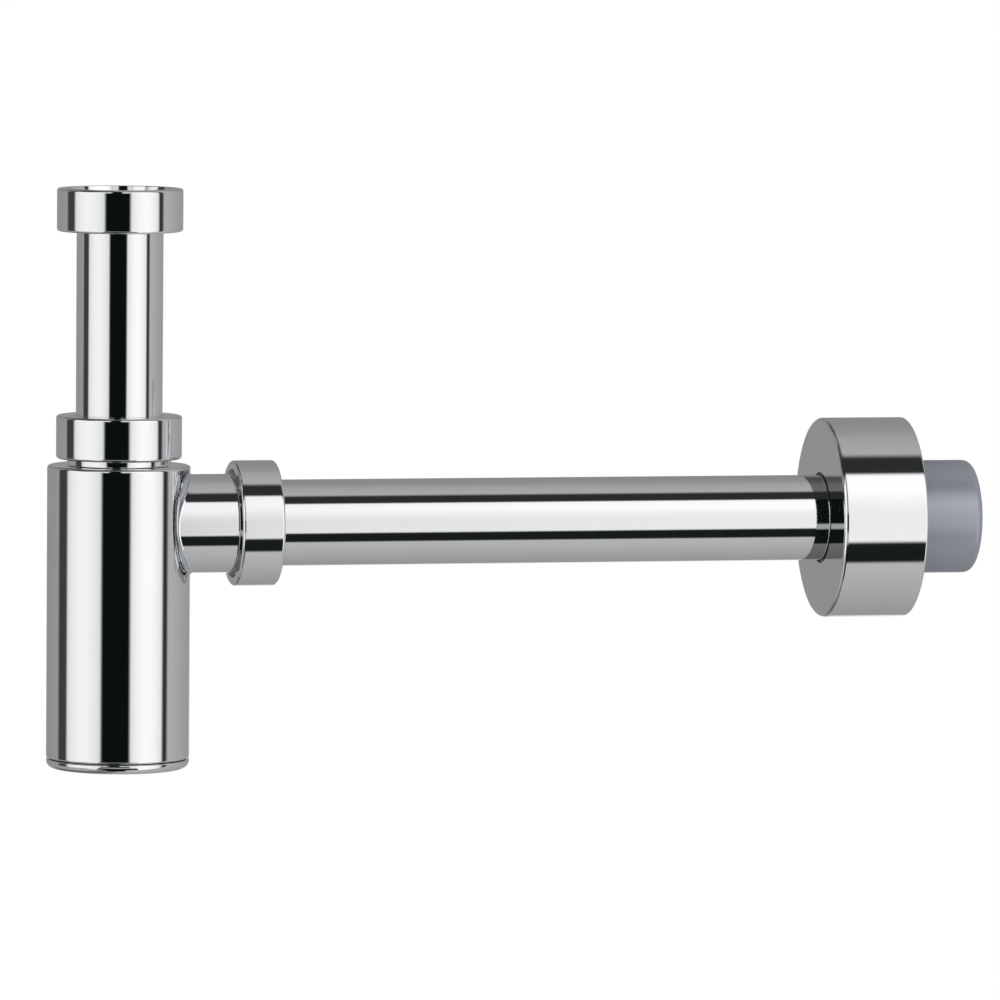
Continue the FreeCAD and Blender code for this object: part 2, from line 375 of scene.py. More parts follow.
# Compression nut on the bottle's neck, turned and chromed like the union nut, with its mouth down.
# Screwed tight, it presses a plastic slip ring on a conical rubber seal round the inlet pipe.
RING_THICKNESS = 0.0015
RING_EDGE = 0.0002
RING_PLAY = 0.00003
RING_SIDE_PLAY = 0.0003
SEAL_HEIGHT = 0.008
SEAL_PROUD = 0.0018
SEAL_BORE_R = 0.01615
SEAL_FOOT_R = 0.0170
SEAL_EDGE = 0.0003

seal_top = ring_seat - RING_THICKNESS
seal_foot = seal_top - SEAL_HEIGHT
socket_rim = seal_top - SEAL_PROUD


def pale_plastic():
    """Natural polyethylene: milky, waxy and slightly uneven from the mould."""
    milky = (0.80, 0.80, 0.765, 1)
    waxy = (0.70, 0.70, 0.66, 1)
    material, start = new_material("slip_ring_polyethylene")
    cloud = start.noise(scale=160, detail=3)
    grain = start.noise(scale=1500, detail=2)
    colour = start.mix_colours(cloud, milky, waxy)
    bump = start.make("ShaderNodeBump", {}, {"Height": grain, "Strength": 0.15, "Distance": 0.00003})
    finish_material(start, {"Base Color": colour, "Roughness": 0.36 + cloud * 0.12, "Normal": bump})
    return material


def slip_ring(name, node, mouth, axis, body):
    """Flat plastic ring under a nut's lip."""
    ring_r = THREAD_CREST_R - RING_SIDE_PLAY
    corners = [
        (SLIDE_R, mouth + seal_top, RING_EDGE, 0),
        (ring_r, mouth + seal_top, RING_EDGE, 0),
        (ring_r, mouth + ring_seat - RING_PLAY, RING_EDGE, 0),
        (SLIDE_R, mouth + ring_seat - RING_PLAY, RING_EDGE, 0),
    ]
    turned_piece(name, node, corners, axis, body, plastic)


def cone_seal(name, node, mouth, axis, body, top_r):
    """Conical rubber ring in a socket's mouth, with a short straight rim above the socket."""
    corners = [
        (SEAL_BORE_R, mouth + seal_foot, SEAL_EDGE, 0),
        (SEAL_FOOT_R, mouth + seal_foot, SEAL_EDGE, 0),
        (top_r, mouth + socket_rim, SEAL_EDGE, 0),
        (top_r, mouth + seal_top, SEAL_EDGE, 0),
        (SEAL_BORE_R, mouth + seal_top, SEAL_EDGE, 0),
    ]
    turned_piece(name, node, corners, axis, body, rubber)


plastic = pale_plastic()
neck_mouth = nut_low.z
seal_top_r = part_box("neck_seal")[1].x
threaded_nut("neck_nut_chromed", "neck_nut", neck_mouth, 1, CLAMP_LEAD, UPRIGHT, "neck_nut")
slip_ring("neck_ring_plastic", "neck_slip_ring", neck_mouth, UPRIGHT, "neck_ring")
cone_seal("neck_cone_seal", "neck_seal", neck_mouth, UPRIGHT, "bottle", seal_top_r)


# Bottle: a brass tube with a neck on top and a side stub silver soldered in, ground to a small fillet,
# polished and chromed. Both sockets are bored for a pipe and a conical seal and threaded outside.
BOTTLE_COLUMNS = 240
SHOULDER_EDGE = 0.0012
SEAM_EDGE = 0.0008
BROKEN_EDGE = 0.0003
SHARP_EDGE = 0.0001
STEP_EDGE = 0.00005
SEAT_RIM_WALL = 0.001
SEAT_FIT = 0.00005
TOP_WALL = 0.0025
INNER_R = 0.0247
CAP_BORE_R = 0.025
THREAD_CORE_R = 0.019226
MALE_DEPTH = 0.00145
NECK_SHOWING = 0.0024
STUB_STEP = 0.000926
STUB_FILLET = 0.0014
STUB_THREAD_INSET = 0.0015
THREAD_RUN_IN = 0.0012
WATERWAY_EDGE = 0.0004
CAP_BORE_TOP = 0.0142
CAP_PITCH = 0.0015
CAP_THREAD_DEPTH = 0.0005
CAP_THREAD_START = 0.0002
CAP_THREAD_FOOT = 0.0045
THREAD_MARGIN = 0.0004
NECK_THREAD_ROWS = 52
STUB_THREAD_ROWS = 46
CAP_THREAD_ROWS = 60
OUTER_HALF = 0.016
INNER_HALF = 0.013
BLOCK_COLUMNS = 48
BLOCK_ROWS = 36
BLOCK_REACH = math.radians(75)
BLOCK_LEFT = BOTTLE_COLUMNS // 2 - BLOCK_COLUMNS // 2
ROWS_BELOW_BLOCK = 16
ROWS_ABOVE_BLOCK = 8
FILLET_ROWS = 9
STUB_TAIL = 0.001

bottle_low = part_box("bottle_body")[0]
bottle_r = -bottle_low.x
outlet_low, outlet_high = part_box("outlet_nut")
outlet_z = (outlet_low.z + outlet_high.z) / 2
outlet_mouth = outlet_low.x
cap_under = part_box("bottom_cap")[0].z
shoulder = neck_mouth - NECK_SHOWING
neck_rim = neck_mouth + socket_rim
stub_rim = outlet_mouth + socket_rim
stub_r = THREAD_CORE_R - STUB_STEP
ceiling = shoulder - TOP_WALL
cap_bore_top = cap_under + CAP_BORE_TOP
seat_top_r = THREAD_CORE_R - SEAT_RIM_WALL
seat_foot_r = SEAL_FOOT_R + SEAT_FIT
ALONG_OUTLET = (np.roll(np.eye(3), -1, 0), np.array([0, 0, outlet_z]))


def rolled_ball(angle, wall_r, hole_r, ball_r, share):
    """Rounding between an upright wall and a hole along +X, as the path of a ball that rolls round both.

    The ball's centre is a ball radius further out than the hole and than the wall. A point lies one ball
    radius back from the centre along a normal, which turns from the wall's at share 0 to the hole's at 1.
    """
    across = (hole_r + ball_r) * np.cos(angle)
    up = (hole_r + ball_r) * np.sin(angle)
    out = np.sqrt((wall_r + ball_r) ** 2 - across ** 2)
    centre = np.stack([out, across, up], 1)
    wall_normal = np.stack([out, across, np.zeros_like(up)], 1) / (wall_r + ball_r)
    hole_normal = np.stack([np.zeros_like(up), np.cos(angle), np.sin(angle)], 1)
    between = np.arccos(np.clip(np.sum(wall_normal * hole_normal, 1), -1, 1))[:, None]
    share = share[:, None, None]
    normal = np.sin((1 - share) * between) * wall_normal + np.sin(share * between) * hole_normal
    normal = normal / np.sin(between)
    return centre - ball_r * normal + ALONG_OUTLET[1], normal


def wall_round_hole(angle, up, half_up, low, high, wall_r, hole_r, ball_r):
    """Angles and heights of a wall's grid, moved so that a block of its cells becomes the hole.

    A point is taken back to the block's outline along the line from the middle. The outline's own place
    there is moved on the hole's curve, 45 degrees at each corner, and the point takes that move, less and
    less up to the reach and the wall's ends.
    """
    half_across = math.pi * BLOCK_COLUMNS / BOTTLE_COLUMNS
    a = angle[None, :] / half_across + 0 * up[:, None]
    b = up[:, None] / half_up + 0 * angle[None, :]
    smallest = 1e-6
    size = np.maximum(np.maximum(np.abs(a), np.abs(b)), smallest)
    a_edge = a / size
    b_edge = b / size
    beside = np.abs(a_edge) >= np.abs(b_edge)
    quarter = math.pi / 4
    by_side = quarter * b_edge * np.sign(a_edge) + math.pi * (a_edge < 0)
    by_end = math.pi / 2 * np.sign(b_edge) - quarter * a_edge * np.sign(b_edge)
    round_hole = np.where(beside, by_side, by_end)
    hole_angle = np.arcsin((hole_r + ball_r) * np.cos(round_hole) / (wall_r + ball_r))
    hole_up = (hole_r + ball_r) * np.sin(round_hole)
    far_up = np.where(up > 0, high, -low)[:, None]
    fade_up = np.clip((far_up - np.abs(up[:, None])) / (far_up - half_up), 0, 1)
    fade_across = np.clip((BLOCK_REACH - np.abs(angle[None, :])) / (BLOCK_REACH - half_across), 0, 1)
    fade = fade_up * fade_across
    new_angle = angle[None, :] + fade * (hole_angle - a_edge * half_across)
    new_up = up[:, None] + fade * (hole_up - b_edge * half_up)
    return new_angle, new_up


def block_outline(low_row, high_row):
    """Rows and columns round the block of removed cells, anticlockwise from its lower right."""
    step = 1 if high_row > low_row else -1
    right = BLOCK_LEFT + BLOCK_COLUMNS
    rows_up = np.arange(low_row, high_row, step)
    columns_back = np.arange(right, BLOCK_LEFT, -1)
    top, bottom = np.full(BLOCK_COLUMNS, high_row), np.full(BLOCK_COLUMNS, low_row)
    right_edge, left_edge = np.full(BLOCK_ROWS, right), np.full(BLOCK_ROWS, BLOCK_LEFT)
    rows = [rows_up, top, rows_up[::-1] + step, bottom]
    columns = [right_edge, columns_back, left_edge, columns_back[::-1] - 1]
    return np.concatenate(rows), np.concatenate(columns)


def wall_heights(low, high, half_up):
    """Heights on a wall that has a hole: a few rows below, even rows across the hole's block, some above."""
    below = np.linspace(low, -half_up, ROWS_BELOW_BLOCK)[1:-1]
    across = np.linspace(-half_up, half_up, BLOCK_ROWS + 1)
    above = np.linspace(half_up, high, ROWS_ABOVE_BLOCK)[1:-1]
    return np.concatenate([below, across, above])


# The section runs up the outside, over the shoulder and neck, and back down the inside.
# Its long sides are known by the number of the corner before them.
OUTER_SIDE = 0
NECK_SIDE = 2
INNER_SIDE = 8
BORE_SIDE = 10
bottle_corners = [
    (bottle_r, bottle_low.z, SEAM_EDGE, 0),
    (bottle_r, shoulder, SHOULDER_EDGE, 0),
    (THREAD_CORE_R, shoulder, EASED_EDGE, 0),
    (THREAD_CORE_R, neck_rim, BROKEN_EDGE, 0.2),
    (seat_top_r, neck_rim, SHARP_EDGE, 0.6),
    (seat_foot_r, neck_mouth + seal_foot, SHARP_EDGE, 1),
    (SLIDE_R, neck_mouth + seal_foot, SHARP_EDGE, 1),
    (SLIDE_R, ceiling, FINE_EDGE, 1),
    (INNER_R, ceiling, SHOULDER_EDGE, 1),
    (INNER_R, cap_bore_top, STEP_EDGE, 1),
    (CAP_BORE_R, cap_bore_top, STEP_EDGE, 1),
    (CAP_BORE_R, bottle_low.z, BROKEN_EDGE, 0.3),
]
outer_low = bottle_low.z + SEAM_EDGE - outlet_z
outer_high = shoulder - SHOULDER_EDGE - outlet_z
inner_low = cap_bore_top + STEP_EDGE - outlet_z
inner_high = ceiling - SHOULDER_EDGE - outlet_z
outer_up = wall_heights(outer_low, outer_high, OUTER_HALF)
inner_up = wall_heights(inner_low, inner_high, INNER_HALF)[::-1]
neck_thread_rows = np.linspace(neck_mouth - THREAD_MARGIN, neck_rim - THREAD_MARGIN, NECK_THREAD_ROWS)
cap_thread_top = cap_bore_top - CAP_THREAD_START
cap_thread_rows = np.linspace(cap_thread_top, bottle_low.z + CAP_THREAD_FOOT, CAP_THREAD_ROWS)
bottle_sides = {OUTER_SIDE: outer_up + outlet_z, NECK_SIDE: neck_thread_rows,
                INNER_SIDE: inner_up + outlet_z, BORE_SIDE: cap_thread_rows}
bottle_section = rounded_section(bottle_corners, bottle_sides)
bottle_angle = -math.pi + even_angles(BOTTLE_COLUMNS)
neck_thread = (THREAD_CORE_R, neck_thread_rows[0], neck_thread_rows[-1], THREAD_PITCH, MALE_DEPTH)
shell, shell_normal = turned_grid(bottle_section, bottle_angle, UPRIGHT, neck_thread)
bore_thread = (CAP_BORE_R, cap_thread_rows[-1], cap_thread_rows[0], CAP_PITCH, CAP_THREAD_DEPTH)
bored, bored_normal = turned_grid(bottle_section, bottle_angle, UPRIGHT, bore_thread)
on_bore = np.abs(bottle_section[:, 0] - CAP_BORE_R) < SAME_RADIUS
shell[on_bore] = bored[on_bore]
shell_normal[on_bore] = bored_normal[on_bore]


def put_wall(first_row, up, half_up, low, high, wall_r, hole_r, ball_r, facing):
    """Puts a wall's rows in place round its hole, and gives the low and high row of the removed block."""
    rows = slice(first_row, first_row + len(up))
    angle, height = wall_round_hole(bottle_angle, up, half_up, low, high, wall_r, hole_r, ball_r)
    spoke = np.stack([np.cos(angle), np.sin(angle), np.zeros_like(angle)], 2)
    shell[rows] = wall_r * spoke
    shell[rows, :, 2] = height + outlet_z
    shell_normal[rows] = facing * spoke
    low_row = first_row + int(np.argmin(np.abs(up + half_up)))
    high_row = first_row + int(np.argmin(np.abs(up - half_up)))
    return low_row, high_row


outer_first = (OUTER_SIDE + 1) * ARC_STEPS
outer_rows = put_wall(outer_first, outer_up, OUTER_HALF, outer_low, outer_high,
                      bottle_r, stub_r, STUB_FILLET, 1)
inner_first = (INNER_SIDE + 1) * ARC_STEPS + len(outer_up) + len(neck_thread_rows)
inner_rows = put_wall(inner_first, inner_up, INNER_HALF, inner_low, inner_high,
                      INNER_R, PIPE_BORE_R, WATERWAY_EDGE, -1)

# The stub's rows start in the fillet on the bottle's wall and end inside, round the waterway.
# Each side of the removed block takes up a quarter of the way round, in degrees.
quarter_up = -45 + 90 * np.arange(BLOCK_ROWS) / BLOCK_ROWS
quarter_back = 45 + 90 * np.arange(BLOCK_COLUMNS) / BLOCK_COLUMNS
stub_angle = np.radians(np.concatenate([quarter_up, quarter_back, quarter_up + 180, quarter_back + 180]))
thread_start = outlet_mouth + STUB_THREAD_INSET
stub_corners = [
    (stub_r, bottle_r, SHARP_EDGE, 0),
    (stub_r, thread_start, CRISP_EDGE, 0),
    (THREAD_CORE_R, thread_start, CRISP_EDGE, 0),
    (THREAD_CORE_R, stub_rim, BROKEN_EDGE, 0.2),
    (seat_top_r, stub_rim, SHARP_EDGE, 0.6),
    (seat_foot_r, outlet_mouth + seal_foot, SHARP_EDGE, 1),
    (SLIDE_R, outlet_mouth + seal_foot, SHARP_EDGE, 1),
    (SLIDE_R, bottle_r, SHARP_EDGE, 1),
    (PIPE_BORE_R, bottle_r, SHARP_EDGE, 1),
    (PIPE_BORE_R, bottle_r - STUB_TAIL, SHARP_EDGE, 1),
]
stub_thread_rows = np.linspace(thread_start + THREAD_RUN_IN, stub_rim - THREAD_MARGIN, STUB_THREAD_ROWS)
stub_section = rounded_section(stub_corners, {NECK_SIDE: stub_thread_rows}, closed=False)
stub_thread = (THREAD_CORE_R, stub_thread_rows[0], stub_thread_rows[-1], THREAD_PITCH, MALE_DEPTH)
stub, stub_normal = turned_grid(stub_section, stub_angle, ALONG_OUTLET, stub_thread)
fillet_share = np.linspace(0, 1, FILLET_ROWS)
fillet, fillet_normal = rolled_ball(stub_angle, bottle_r, stub_r, STUB_FILLET, fillet_share)
edge_share = fillet_share[::-1]
inside_edge, inside_normal = rolled_ball(stub_angle, INNER_R, PIPE_BORE_R, WATERWAY_EDGE, edge_share)
tunnel = np.concatenate([fillet[1:], stub, inside_edge[:-1]])
tunnel_normal = np.concatenate([fillet_normal[1:], stub_normal, -inside_normal[:-1]])
tunnel_raw = np.concatenate([np.zeros(FILLET_ROWS - 1), stub_section[:, 4], np.ones(FILLET_ROWS - 1)])

# The stub takes the place of a block of cells in each wall, and what lies inside a block is left out
shell_index = vertex_numbers(shell)
outer_ring = shell_index[block_outline(*outer_rows)]
inner_ring = shell_index[block_outline(*inner_rows)]
tunnel_index = np.vstack([outer_ring, vertex_numbers(tunnel, shell_index.size), inner_ring])
cell_kept = np.ones(shell_index.shape, bool)
for rows in (outer_rows, inner_rows):
    cell_kept[min(rows):max(rows), BLOCK_LEFT:BLOCK_LEFT + BLOCK_COLUMNS] = False
shell_faces = grid_faces(shell_index, closed_rows=True)[cell_kept.reshape(-1)]
bottle_faces = np.vstack([shell_faces, grid_faces(tunnel_index, closed_rows=False)])
kept, bottle_faces = np.unique(bottle_faces, return_inverse=True)
bottle_faces = bottle_faces.reshape(-1, 4)
bottle_points = np.concatenate([shell.reshape(-1, 3), tunnel.reshape(-1, 3)])[kept]
bottle_normals = np.concatenate([shell_normal.reshape(-1, 3), tunnel_normal.reshape(-1, 3)])[kept]
bottle_raw = np.concatenate([np.repeat(bottle_section[:, 4], BOTTLE_COLUMNS),
                             np.repeat(tunnel_raw, len(stub_angle))])[kept]
bottle = piece_from("bottle_shell", bottle_points, bottle_normals, bottle_raw, bottle_faces,
                    "bottle", chrome)
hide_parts("bottle_body")


# Cleaning cap: a turned brass cup with a rounded rim, screwed into the bottle from below and chromed.
# An O-ring in its groove seals it, and a coin slot underneath turns it out for cleaning.
CAP_RIM = 0.0036
CAP_EDGE = 0.0029
CAP_TOP_EDGE = 0.0006
CAP_FLOOR = 0.003
CAP_LAND = 0.0008
CAP_LAND_R = 0.0247
CAP_SKIRT_R = 0.0242
CAP_GROOVE_R = 0.0225
CAP_CUP_R = 0.021
CAP_CUP_EDGE = 0.001
CAP_UNDERSIDE_R = 0.018
CAP_MIDDLE_R = 0.001
CAP_THREAD_HEIGHT = 0.006
SKIRT_MARGIN = (0.0001, 0.0003)
SKIRT_ROWS = 50
SKIRT_SIDE = 9
GROOVE_WIDTH = 0.0027
O_RING_CORD = 0.0024
O_RING_R = 0.02375
CORD_STEPS = 36
SLOT_HALF_RUN = 0.0135
SLOT_HALF_WIDTH = 0.0015
SLOT_DEPTH = 0.0015
SLOT_EDGE = 0.0002

groove_low = CAP_RIM + CAP_LAND
groove_high = groove_low + GROOVE_WIDTH
skirt_low = groove_high + CAP_LAND
skirt_top = skirt_low + CAP_THREAD_HEIGHT
cap_corners = [
    (CAP_UNDERSIDE_R, 0, SHARP_EDGE, 0),
    (bottle_r, 0, CAP_EDGE, 0),
    (bottle_r, CAP_RIM, CAP_TOP_EDGE, 0),
    (CAP_LAND_R, CAP_RIM, CRISP_EDGE, 0.3),
    (CAP_LAND_R, groove_low, SHARP_EDGE, 0.5),
    (CAP_GROOVE_R, groove_low, CRISP_EDGE, 0.5),
    (CAP_GROOVE_R, groove_high, CRISP_EDGE, 0.5),
    (CAP_LAND_R, groove_high, SHARP_EDGE, 0.5),
    (CAP_LAND_R, skirt_low, SHARP_EDGE, 0.5),
    (CAP_SKIRT_R, skirt_low, SHARP_EDGE, 0.5),
    (CAP_SKIRT_R, skirt_top, CRISP_EDGE, 0.7),
    (CAP_CUP_R, skirt_top, BROKEN_EDGE, 1),
    (CAP_CUP_R, CAP_FLOOR, CAP_CUP_EDGE, 1),
    (CAP_MIDDLE_R, CAP_FLOOR, SHARP_EDGE, 1),
]
cap_corners = [(r, cap_under + t, rounding, raw) for r, t, rounding, raw in cap_corners]
skirt_start = cap_under + skirt_low + SKIRT_MARGIN[0]
skirt_rows = np.linspace(skirt_start, cap_under + skirt_top - SKIRT_MARGIN[1], SKIRT_ROWS)
cap_section = rounded_section(cap_corners, {SKIRT_SIDE: skirt_rows}, closed=False)
cap_thread = (CAP_SKIRT_R, skirt_rows[0], skirt_rows[-1], CAP_PITCH, CAP_THREAD_DEPTH)
cap_angle = even_angles(BOTTLE_COLUMNS)
cup, cup_normal = turned_grid(cap_section, cap_angle, UPRIGHT, cap_thread)


def slot_rows(width, height, sideways, upwards):
    """Rows round the coin slot, one for each half width and height, with their normals.

    On a ray from the middle, a point lies on the slot's straight side where that comes first, and else on
    the half circle at its end. The normal leans sideways from the slot's outline and upwards by the shares.
    """
    ray = np.stack([np.cos(cap_angle), np.sin(cap_angle)], 1)
    width = width[:, None]
    smallest = 1e-9
    sine = np.maximum(np.abs(ray[:, 1]), smallest)
    to_side = width / sine
    on_side = to_side * np.abs(ray[:, 0]) <= SLOT_HALF_RUN
    reach = np.sqrt(np.maximum(width ** 2 - (SLOT_HALF_RUN * sine) ** 2, 0))
    to_end = SLOT_HALF_RUN * np.abs(ray[:, 0]) + reach
    flat = np.where(on_side, to_side, to_end)[..., None] * ray
    end_centre = np.stack([SLOT_HALF_RUN * np.sign(ray[:, 0]), np.zeros(len(ray))], 1)
    side_normal = np.stack([np.zeros(len(ray)), np.sign(ray[:, 1])], 1)
    outline = np.where(on_side[..., None], side_normal, (flat - end_centre) / width[..., None])
    point = np.concatenate([flat, np.broadcast_to(height[:, None, None], (*on_side.shape, 1))], 2)
    lean = np.broadcast_to(upwards[:, None, None], (*on_side.shape, 1))
    return point, np.concatenate([outline * sideways[:, None, None], lean], 2)


# The slot's rows run from its floor down its wall and round its rim to the flat underside
turn = np.linspace(0, math.pi / 2, ARC_STEPS)
floor_width = SLOT_HALF_WIDTH - SLOT_EDGE + SLOT_EDGE * np.sin(turn)
floor_height = cap_under + SLOT_DEPTH - SLOT_EDGE + SLOT_EDGE * np.cos(turn)
rim_width = SLOT_HALF_WIDTH + SLOT_EDGE - SLOT_EDGE * np.cos(turn)
rim_height = cap_under + SLOT_EDGE - SLOT_EDGE * np.sin(turn)
slot_width = np.concatenate([floor_width, rim_width])
slot_height = np.concatenate([floor_height, rim_height])
sideways = np.concatenate([-np.sin(turn), -np.cos(turn)])
upwards = np.concatenate([-np.cos(turn), -np.sin(turn)])
slot, slot_normal = slot_rows(slot_width, slot_height, sideways, upwards)
cap_rows = np.concatenate([slot, cup])
cap_normals = np.concatenate([slot_normal, cup_normal]).reshape(-1, 3)
cap_index = vertex_numbers(cap_rows)
slot_middle = np.array([[0, 0, cap_under + SLOT_DEPTH]])
cup_middle = np.array([[0, 0, cap_under + CAP_FLOOR]])
cap_points = np.concatenate([cap_rows.reshape(-1, 3), slot_middle, cup_middle])
cap_normals = np.concatenate([cap_normals, [[0, 0, -1]], [[0, 0, 1]]])
cap_raw = np.concatenate([np.zeros(slot.shape[0]), cap_section[:, 4]])
cap_raw = np.concatenate([np.repeat(cap_raw, BOTTLE_COLUMNS), [0, 1]])


def fan_faces(ring, middle, outwards):
    """Triangles from a ring of vertex numbers to one in its middle."""
    beside = np.roll(ring, -1)
    near, far = (ring, beside) if outwards else (beside, ring)
    return np.stack([near, far, np.full_like(ring, middle)], 1)


cap_faces = grid_faces(cap_index, closed_rows=False).tolist()
cap_faces += fan_faces(cap_index[0], len(cap_points) - 2, False).tolist()
cap_faces += fan_faces(cap_index[-1], len(cap_points) - 1, True).tolist()
cap = piece_from("cleaning_cap", cap_points, cap_normals, cap_raw, cap_faces, "cap", chrome)
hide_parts("bottom_cap")

cord_angle = even_angles(CORD_STEPS)
cord = np.stack([np.cos(cord_angle), np.sin(cord_angle)], 1)
cord_centre = (O_RING_R, cap_under + (groove_low + groove_high) / 2)
cord_section = np.hstack([cord_centre + O_RING_CORD / 2 * cord, cord, np.zeros((CORD_STEPS, 1))])
ring_points, ring_normals = turned_grid(cord_section, cap_angle, UPRIGHT)
ring_index = vertex_numbers(ring_points)
o_ring = piece_from("cap_o_ring", ring_points.reshape(-1, 3), ring_normals.reshape(-1, 3),
                    np.zeros(ring_index.size), grid_faces(ring_index, closed_rows=True),
                    "cap_ring", rubber)
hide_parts("cap_seal")


# Compression nut on the side stub, with its slip ring and conical seal, all the same as at the neck.
# Its mouth faces the bottle, and it clamps the outlet pipe in the stub's socket.
threaded_nut("outlet_nut_chromed", "outlet_nut", outlet_mouth, 1, CLAMP_LEAD, ALONG_OUTLET, "outlet_nut")
slip_ring("outlet_ring_plastic", "outlet_slip_ring", outlet_mouth, ALONG_OUTLET, "outlet_ring")
cone_seal("outlet_cone_seal", "outlet_seal", outlet_mouth, ALONG_OUTLET, "bottle", seal_top_r)


# Outlet pipe: plain drawn brass tube, cut square at both ends and chromed outside.
# One end is pushed into the stub's socket, the other reaches into the wall.
outlet_start, outlet_end = (corner.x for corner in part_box("outlet_pipe"))
outlet_tube = [
    (PIPE_BORE_R, outlet_start, FINE_EDGE, 1),
    (PIPE_R, outlet_start, FINE_EDGE, 0),
    (PIPE_R, outlet_end, FINE_EDGE, 0),
    (PIPE_BORE_R, outlet_end, FINE_EDGE, 1),
]
turned_piece("wall_pipe", "outlet_pipe", outlet_tube, ALONG_OUTLET, "outlet", chrome)


# Wall flange: a deep cup drawn from sheet brass and chromed, open to the wall.
# A collar drawn inwards round the pipe lets it slide along until its rim meets the wall.
FLANGE_WALL = 0.0012
FLANGE_EDGE = 0.0016
FLANGE_RIM_EDGE = 0.0008
FLANGE_COLLAR = 0.005
GROOVE_R = 0.0170
GROOVE_DEPTH = 0.0020

flange_low, flange_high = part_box("wall_flange")
flange_r = flange_high.y
cup_r = flange_r - FLANGE_WALL
collar_r = SLIDE_R + FLANGE_WALL
flange_cup = [
    (GROOVE_R, flange_low.x, BROKEN_EDGE, 0),
    (flange_r, flange_low.x, FLANGE_EDGE, 0),
    (flange_r, flange_high.x, FLANGE_RIM_EDGE, 0),
    (cup_r, flange_high.x, BROKEN_EDGE, 0.4),
    (cup_r, flange_low.x + FLANGE_WALL, EASED_EDGE, 1),
    (collar_r, flange_low.x + FLANGE_WALL, EASED_EDGE, 1),
    (collar_r, flange_low.x + FLANGE_COLLAR, FINE_EDGE, 1),
    (SLIDE_R, flange_low.x + FLANGE_COLLAR, FINE_EDGE, 1),
    (SLIDE_R, flange_low.x + GROOVE_DEPTH, SHARP_EDGE, 0.4),
    (GROOVE_R, flange_low.x + GROOVE_DEPTH, CRISP_EDGE, 0.4),
]
turned_piece("flange_cup", "wall_flange", flange_cup, ALONG_OUTLET, "flange", chrome)


# Wall sleeve: a moulded collar of satin grey rubber, pushed on the pipe's end up to its inner lip.
# It is pressed into the drain in the wall, and a rim at its near end stops it there.
SLEEVE_BORE_R = 0.01605
SLEEVE_R = 0.0212
SLEEVE_RIM_LENGTH = 0.004
SLEEVE_RIM_EDGE = 0.0008
SLEEVE_EDGE = 0.003
SLEEVE_LIP = 0.0045


def satin_rubber():
    """Blue-grey moulded rubber with a satin skin, slightly clouded and finely pitted by its mould."""
    grey = (0.160, 0.183, 0.222, 1)
    pale = (0.187, 0.211, 0.253, 1)
    material, start = new_material("sleeve_rubber")
    cloud = start.noise(scale=130, detail=4)
    pits = start.noise(scale=2200, detail=3)
    colour = start.mix_colours(cloud, grey, pale)
    bump = start.make("ShaderNodeBump", {}, {"Height": pits, "Strength": 0.2, "Distance": 0.00003})
    finish_material(start, {"Base Color": colour, "Roughness": 0.30 + cloud * 0.12, "IOR": 1.85,
                            "Specular IOR Level": 1.0, "Normal": bump})
    return material


sleeve_low, sleeve_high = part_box("wall_sleeve")
sleeve_rim_r = sleeve_high.y
sleeve_lip_start = sleeve_high.x - SLEEVE_LIP
sleeve = [
    (SLEEVE_BORE_R, sleeve_low.x, SLEEVE_RIM_EDGE, 0),
    (sleeve_rim_r, sleeve_low.x, SLEEVE_RIM_EDGE, 0),
    (sleeve_rim_r, sleeve_low.x + SLEEVE_RIM_LENGTH, SLEEVE_RIM_EDGE, 0),
    (SLEEVE_R, sleeve_low.x + SLEEVE_RIM_LENGTH, SLEEVE_RIM_EDGE, 0),
    (SLEEVE_R, sleeve_high.x, SLEEVE_EDGE, 0),
    (PIPE_BORE_R, sleeve_high.x, SLEEVE_RIM_EDGE, 0),
    (PIPE_BORE_R, sleeve_lip_start, BROKEN_EDGE, 0),
    (SLEEVE_BORE_R, sleeve_lip_start, BROKEN_EDGE, 0),
]
satin = satin_rubber()
turned_piece("wall_sleeve_rubber", "wall_sleeve", sleeve, ALONG_OUTLET, "outlet", satin)


# Studio: a grey tent with two white softboxes in a dark frame in front and a small one behind.
# Only mirror-like surfaces see the tent; the camera sees a white ground above a pale floor.
TENT_RADIUS = 9.0
TENT_CENTRE = Vector((0.15, 0, -0.11))
EDGE_REACH = 0.35
FLOOR_DROP = 0.15
FLOOR_HALF = 15.0
WHITE = (1, 1, 1, 1)
COOL_BLACK = (0, 0.002, 0.0024, 1)
PAPER = (0.86, 0.86, 0.86, 1)
FLOOR_STRENGTH = 1.04
FLOOR_SHARE = 0.93
SKY_STRENGTH = 0.62
LAMPS = (("key_lamp", (0.9, -2.4, 0.9), 1.4, 36), ("fill_lamp", (-2.2, -1.6, 0.8), 1.6, 16))

# Where the tent's parts begin and end, in degrees from the front, to the right and up
FRAME_AZIMUTH = (-121, 75.5)
FRAME_PITCH = (-49.5, 79.5)
FRAME_INSIDE = (-99, 66)
FRAME_INSIDE_PITCH = (-23, 56)
SOFTBOX_PITCH = (-54, 55)
MIDDLE_FOOT = -24.5
MIDDLE_AZIMUTH = (-46, 26)
LEFT_SOFTBOX = (-100.5, -38.5)
RIGHT_SOFTBOX = (8, 65)
GLEAM_PITCH = 36
GLEAM_SPREAD = 16
GAP = (LEFT_SOFTBOX[1], RIGHT_SOFTBOX[0])
DARK_PITCH = (-72, -13)
SILL_PITCH = (-27, -13)
HEAD_PITCH = (9, SOFTBOX_PITCH[1])
DARK_BAR = (-28, -7)
BACK_SOFTBOX = (156, 180)
BACK_ELEVATION = (-24, -3)
EDGE_BLUR = 6
LEVEL_BLUR = 5
FRAME_BLUR = 7
FRAME_HEAD_BLUR = 9
LEFT_SIDE_BLUR = 8
FOOT_BLUR = 14
BACK_BLUR = 4

